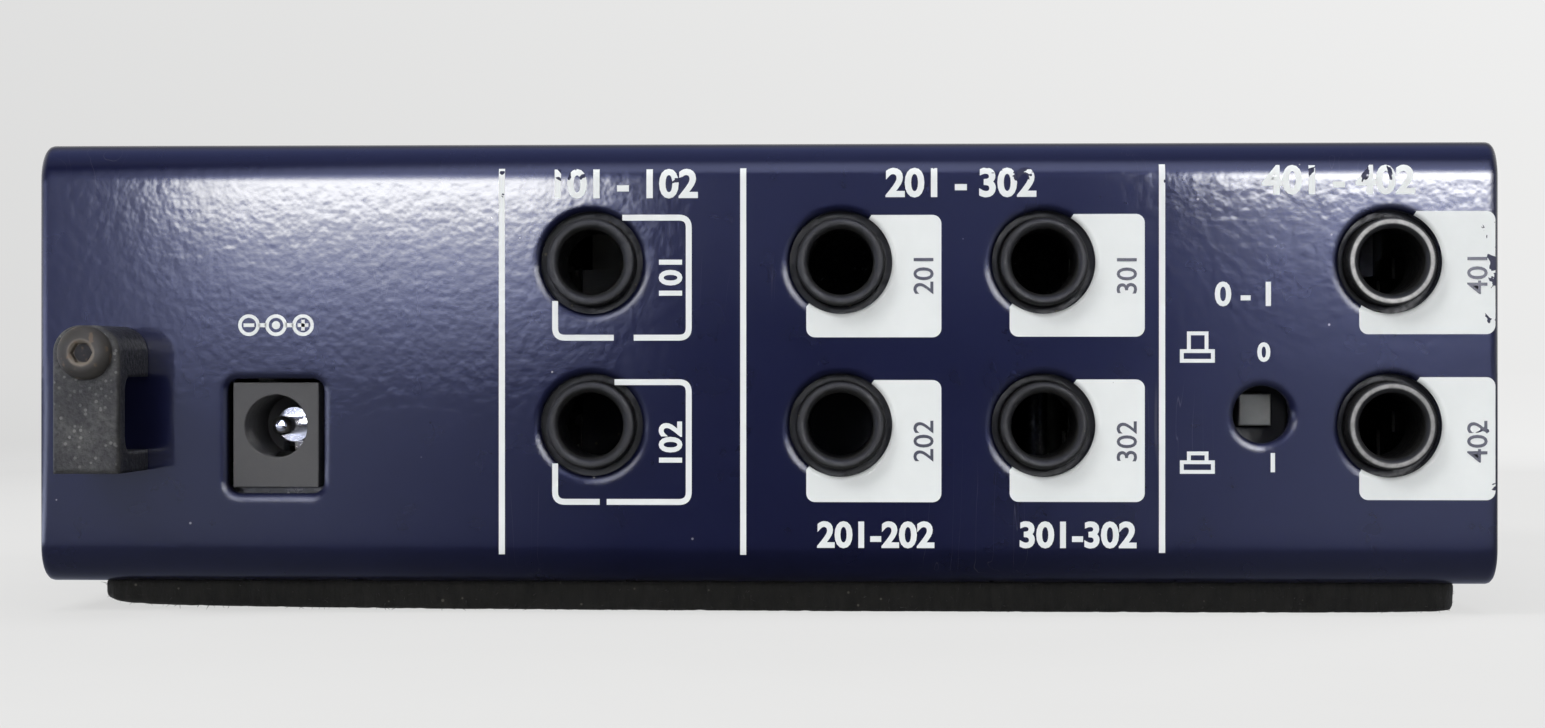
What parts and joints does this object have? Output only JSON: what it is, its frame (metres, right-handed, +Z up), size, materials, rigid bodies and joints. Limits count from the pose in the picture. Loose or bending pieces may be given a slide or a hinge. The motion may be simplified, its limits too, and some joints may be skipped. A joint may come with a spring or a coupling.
{
  "type": "studio monitor controller",
  "caption": "Folded steel desk-top box with jack sockets, a power socket, a push switch and a cable clamp behind, and knobs, toggles and headphone sockets in front.",
  "frame": {"origin": "on the desk, under the middle of the box: the underside of the pad", "axes": "+Z up, +Y towards the rear panel, +X to the right seen from the front"},
  "size_m": [0.1512, 0.127, 0.048],
  "materials": {
    "navy_paint": "glossy navy powder coat with white print",
    "zinc_steel": "zinc plated steel",
    "black_screw": "black oxide steel",
    "pad_rubber": "matt black foam rubber",
    "clamp_nylon": "grainy black glass-filled nylon",
    "jack_plastic": "black moulded plastic",
    "contact_metal": "nickel plated spring metal",
    "board_laminate": "green glass-epoxy laminate",
    "can_sleeve": "shrink sleeve on an aluminium can",
    "plunger_grey": "grey moulded plastic",
    "knob_black": "black fluted plastic with a white pointer",
    "bright_metal": "nickel plated metal",
    "trimmer_plastic": "white moulded plastic",
    "lamp_lens": "tinted diffused lamp"
  },
  "bodies": {
    "case": {"rear_shell": "navy_paint", "front_frame": "navy_paint", "side_brackets": "zinc_steel", "case_screws": "black_screw", "base_pad": "pad_rubber", "cable_clamp": "clamp_nylon", "clamp_screw": "black_screw", "clamp_nut": "zinc_steel", "main_board": "board_laminate", "upper_board": "board_laminate", "front_board": "board_laminate", "lower_standoffs": "zinc_steel", "upper_standoffs": "zinc_steel", "board_screws": "zinc_steel", "board_headers": "jack_plastic", "board_chips": "jack_plastic", "board_capacitors": "can_sleeve", "aux_left_jack": "jack_plastic", "aux_right_jack": "jack_plastic", "b_left_jack": "jack_plastic", "b_right_jack": "jack_plastic", "a_left_jack": "jack_plastic", "a_right_jack": "jack_plastic", "input_left_jack": "jack_plastic", "input_right_jack": "jack_plastic", "rear_jack_contacts": "contact_metal", "dc_jack_housing": "jack_plastic", "dc_jack_pin": "contact_metal", "dc_jack_contact": "contact_metal", "switch_body": "jack_plastic", "switch_spring": "contact_metal", "master_pot_body": "bright_metal", "phones_pot_body": "bright_metal", "pot_nuts": "bright_metal", "toggle_bodies": "bright_metal", "toggle_nuts": "bright_metal", "phones_jack_one": "jack_plastic", "phones_jack_two": "jack_plastic", "jack_nuts": "bright_metal", "small_phones_jack": "jack_plastic", "phones_jack_contacts": "contact_metal", "status_leds": "lamp_lens", "trimmer_bodies": "trimmer_plastic"},
    "plunger": {"switch_plunger": "plunger_grey"},
    "master_volume": {"master_knob": "knob_black", "master_shaft": "bright_metal", "master_set_screw": "black_screw"},
    "phones_volume": {"phones_knob": "knob_black", "phones_shaft": "bright_metal", "phones_set_screw": "black_screw"},
    "dim_lever": {"dim_lever": "bright_metal"},
    "mono_lever": {"mono_lever": "bright_metal"},
    "sub_lever": {"sub_lever": "bright_metal"},
    "monitor_lever": {"monitor_lever": "bright_metal"},
    "phones_lever": {"phones_lever": "bright_metal"},
    "trimmer_one": {"trimmer_one": "trimmer_plastic"},
    "trimmer_two": {"trimmer_two": "trimmer_plastic"},
    "trimmer_three": {"trimmer_three": "trimmer_plastic"},
    "trimmer_four": {"trimmer_four": "trimmer_plastic"}
  },
  "joints": [
    {"name": "switch_push", "type": "slide", "parent": "case", "child": "plunger", "axis": [0, -1, 0], "range_m": [0, 0.0025], "stiffness_N_per_m": 800, "deforming": ["switch_spring"]},
    {"name": "master_turn", "type": "hinge", "parent": "case", "child": "master_volume", "pos_m": [-0.008, -0.05, 0.0255], "axis": [0, 1, 0], "range_deg": [-150, 150]},
    {"name": "phones_turn", "type": "hinge", "parent": "case", "child": "phones_volume", "pos_m": [0.04, -0.05, 0.035], "axis": [0, 1, 0], "range_deg": [-150, 150]},
    {"name": "dim_flip", "type": "hinge", "parent": "case", "child": "dim_lever", "pos_m": [-0.061, -0.049, 0.0255], "axis": [-1, 0, 0], "range_deg": [0, 25]},
    {"name": "mono_flip", "type": "hinge", "parent": "case", "child": "mono_lever", "pos_m": [-0.048, -0.049, 0.0255], "axis": [-1, 0, 0], "range_deg": [0, 25]},
    {"name": "sub_flip", "type": "hinge", "parent": "case", "child": "sub_lever", "pos_m": [-0.035, -0.049, 0.0255], "axis": [-1, 0, 0], "range_deg": [0, 25]},
    {"name": "monitor_flip", "type": "hinge", "parent": "case", "child": "monitor_lever", "pos_m": [0.015, -0.049, 0.023], "axis": [-1, 0, 0], "range_deg": [0, 25]},
    {"name": "phones_flip", "type": "hinge", "parent": "case", "child": "phones_lever", "pos_m": [0.033, -0.049, 0.017], "axis": [-1, 0, 0], "range_deg": [0, 25]},
    {"name": "trimmer_one_turn", "type": "hinge", "parent": "case", "child": "trimmer_one", "pos_m": [-0.054, 0.014, 0.045], "axis": [0, 0, 1], "range_deg": [-140, 140]},
    {"name": "trimmer_two_turn", "type": "hinge", "parent": "case", "child": "trimmer_two", "pos_m": [-0.018, 0.014, 0.045], "axis": [0, 0, 1], "range_deg": [-140, 140]},
    {"name": "trimmer_three_turn", "type": "hinge", "parent": "case", "child": "trimmer_three", "pos_m": [0.018, 0.014, 0.045], "axis": [0, 0, 1], "range_deg": [-140, 140]},
    {"name": "trimmer_four_turn", "type": "hinge", "parent": "case", "child": "trimmer_four", "pos_m": [0.054, 0.014, 0.045], "axis": [0, 0, 1], "range_deg": [-140, 140]}
  ]
}
